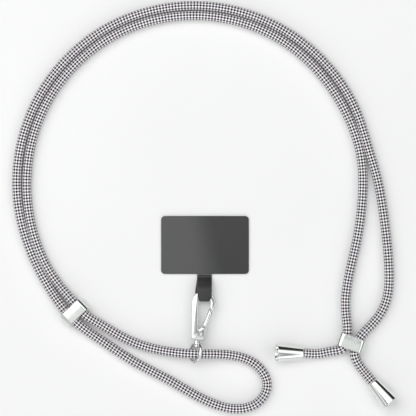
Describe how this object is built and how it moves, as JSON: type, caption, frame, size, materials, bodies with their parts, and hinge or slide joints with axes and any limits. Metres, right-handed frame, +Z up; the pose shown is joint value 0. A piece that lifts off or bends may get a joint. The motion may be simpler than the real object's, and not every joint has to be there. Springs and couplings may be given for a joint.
{
  "type": "phone crossbody strap",
  "caption": "Crossbody strap: one long braided cord with two sliders, two bell end caps and a swivel snap hook that holds a flat pad made to sit behind a phone in its case.",
  "frame": {"origin": "centre of the pad's underside, on the surface that the strap lies on", "axes": "+Z up from the surface, +Y from the clasp to the pad and on to the far side of the big loop, +X to the side with the two end caps"},
  "size_m": [0.2395, 0.2567, 0.0128],
  "materials": {
    "braided_cord": "round diamond braid of dark plum and pale strands",
    "satin_metal": "pale satin plating",
    "cap_chrome": "polished plating",
    "clasp_chrome": "polished plating",
    "pin_steel": "bright pin",
    "pad_fabric": "black coated fabric with a soft sheen",
    "tab_fabric": "black coated strip"
  },
  "bodies": {
    "root": {"cord": "braided_cord", "slider_left": "satin_metal", "slider_right": "satin_metal", "end_cap_left": "cap_chrome", "end_cap_right": "cap_chrome", "hook_body": "clasp_chrome", "gate_rivet": "pin_steel", "swivel_post": "pin_steel", "pad": "pad_fabric", "tab": "tab_fabric"},
    "gate": {"hook_gate": "clasp_chrome"},
    "eye": {"swivel_eye": "clasp_chrome"}
  },
  "joints": [
    {"name": "gate_hinge", "type": "hinge", "parent": "root", "child": "gate", "pos_m": [-0.0029, -0.05533, 0.00552], "axis": [0.013, 0.0779, 0.9969], "range_deg": [0, 19], "stiffness_Nm_per_rad": 0.005},
    {"name": "eye_swivel", "type": "hinge", "parent": "root", "child": "eye", "pos_m": [-0.0059, -0.0666, 0.00644], "axis": [0.1645, 0.9832, -0.079], "range_deg": [-66, 5]}
  ]
}
